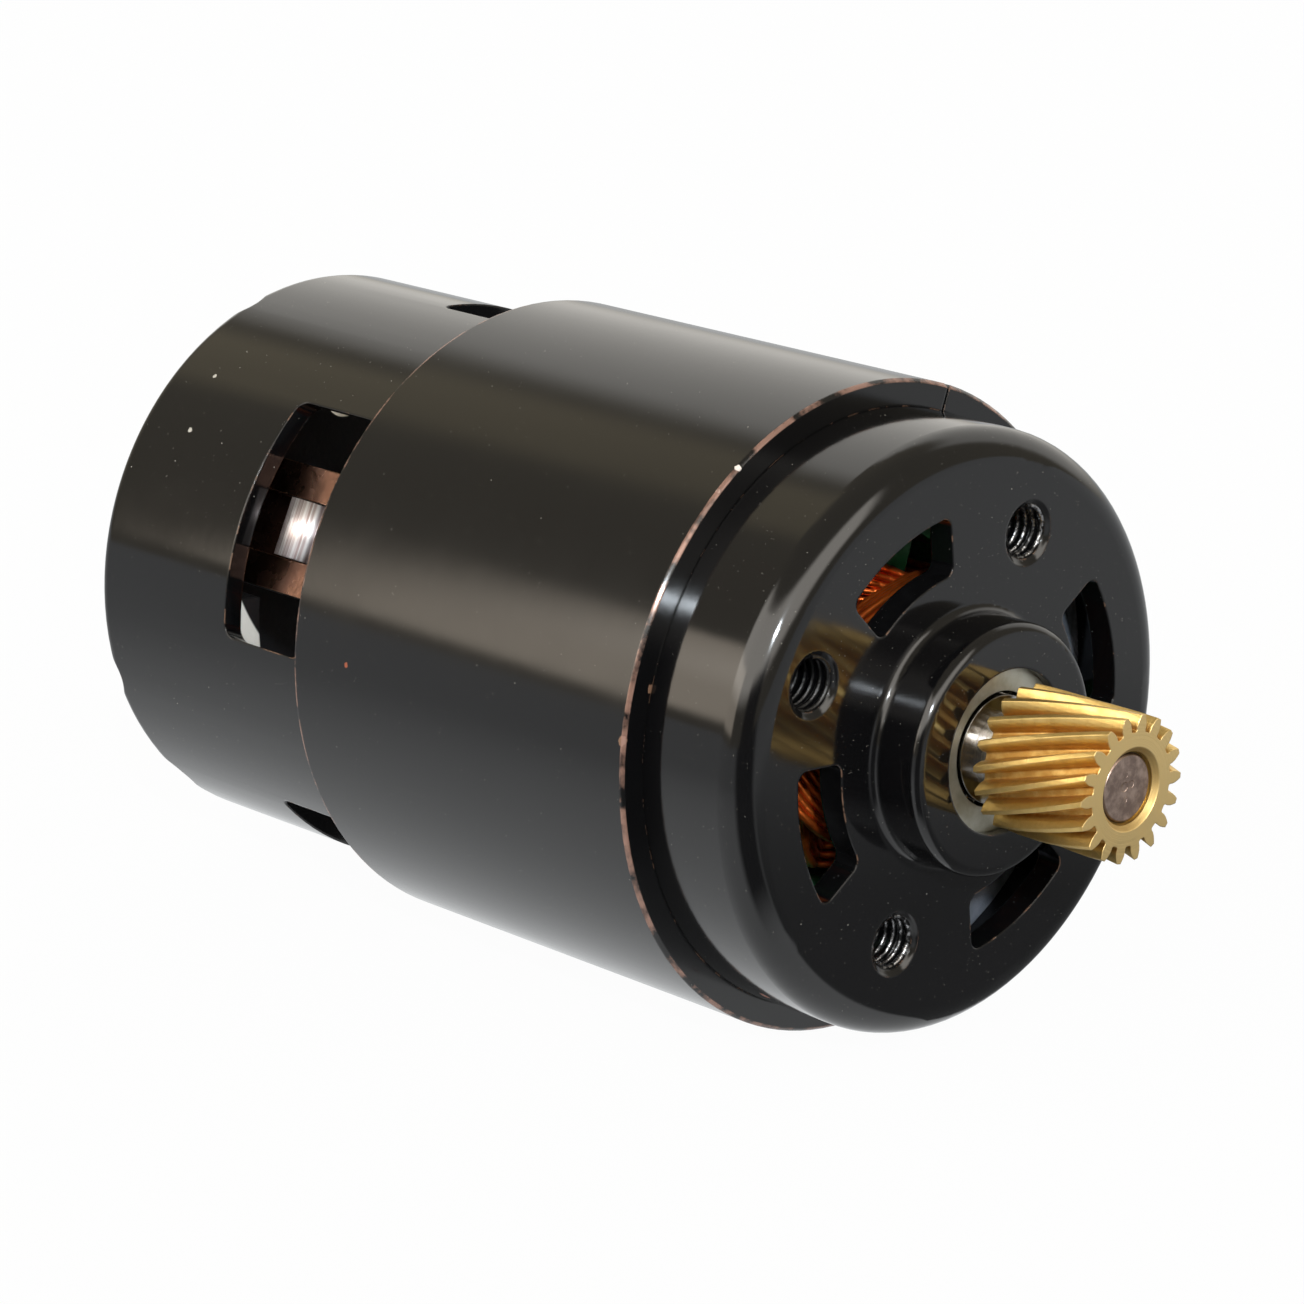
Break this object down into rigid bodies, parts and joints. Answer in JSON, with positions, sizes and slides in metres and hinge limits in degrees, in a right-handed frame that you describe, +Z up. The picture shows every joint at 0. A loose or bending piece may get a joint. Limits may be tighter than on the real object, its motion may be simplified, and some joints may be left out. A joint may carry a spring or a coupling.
{
  "type": "dc motor with helical pinion",
  "caption": "Brushed DC motor: black drawn steel can with a vented front, pilot boss and tapped holes, a rolled steel ring round it, and a helical brass pinion.",
  "frame": {"origin": "centre of the flat front face, on the shaft's axis", "axes": "+X along the shaft towards the pinion, +Z up, +Y to the side"},
  "size_m": [0.0878, 0.0458, 0.0458],
  "materials": {
    "black_can": "gloss black enamel",
    "black_ring": "gloss black enamel",
    "ferrite": "dark grey ferrite",
    "clip_steel": "rolled sheet",
    "white_nylon": "moulded white",
    "tinned_blade": "tinned",
    "box_copper": "brownish sheet",
    "carbon": "pressed carbon",
    "spring_steel": "bright strip",
    "shaft_steel": "ground",
    "pinion_brass": "cut brass",
    "core_steel": "stacked sheet",
    "green_board": "green lacquered",
    "copper_wire": "lacquered copper",
    "dark_sleeve": "dark moulded",
    "dark_hub": "dark moulded",
    "bar_copper": "turned copper",
    "race_steel": "ground",
    "ball_steel": "polished",
    "cage_steel": "pressed sheet",
    "shield_cream": "satin, warm",
    "bronze": "sintered bronze"
  },
  "bodies": {
    "stator": {"motor_can": "black_can", "flux_ring": "black_ring", "magnet_a": "ferrite", "magnet_b": "ferrite", "magnet_clip_a": "clip_steel", "magnet_clip_b": "clip_steel", "end_cap": "white_nylon", "terminal_a": "tinned_blade", "terminal_b": "tinned_blade", "brush_box_a": "box_copper", "brush_box_b": "box_copper", "bearing_outer_race": "race_steel", "bearing_shield_front": "shield_cream", "bearing_shield_rear": "shield_cream", "rear_bush": "bronze"},
    "rotor": {"shaft": "shaft_steel", "pinion": "pinion_brass", "armature_core": "core_steel", "insulator_front": "green_board", "insulator_rear": "green_board", "coil_1": "copper_wire", "coil_2": "copper_wire", "coil_3": "copper_wire", "coil_4": "copper_wire", "coil_5": "copper_wire", "front_sleeve": "dark_sleeve", "commutator_hub": "dark_hub", "commutator_bars": "bar_copper", "rear_sleeve": "dark_sleeve", "bearing_inner_race": "race_steel"},
    "ball_set": {"bearing_balls": "ball_steel", "bearing_cage": "cage_steel"},
    "brush_unit_a": {"brush_a": "carbon", "spring_roll_a": "spring_steel"},
    "brush_unit_b": {"brush_b": "carbon", "spring_roll_b": "spring_steel"}
  },
  "joints": [
    {"name": "rotor_spin", "type": "hinge", "parent": "stator", "child": "rotor", "pos_m": [0, 0, 0], "axis": [1, 0, 0], "continuous": true},
    {"name": "ball_spin", "type": "hinge", "parent": "stator", "child": "ball_set", "pos_m": [0.0008, 0, 0], "axis": [1, 0, 0], "continuous": true},
    {"name": "brush_slide_a", "type": "slide", "parent": "stator", "child": "brush_unit_a", "axis": [0, -0.9018, 0.4321], "range_m": [0, 0.0012], "stiffness_N_per_m": 200, "springref_m": -0.006},
    {"name": "brush_slide_b", "type": "slide", "parent": "stator", "child": "brush_unit_b", "axis": [0, 0.9018, -0.4321], "range_m": [0, 0.0012], "stiffness_N_per_m": 200, "springref_m": -0.006}
  ],
  "couplings": [
    {"joint": "ball_spin", "follows": "rotor_spin", "ratio": 0.37302}
  ]
}
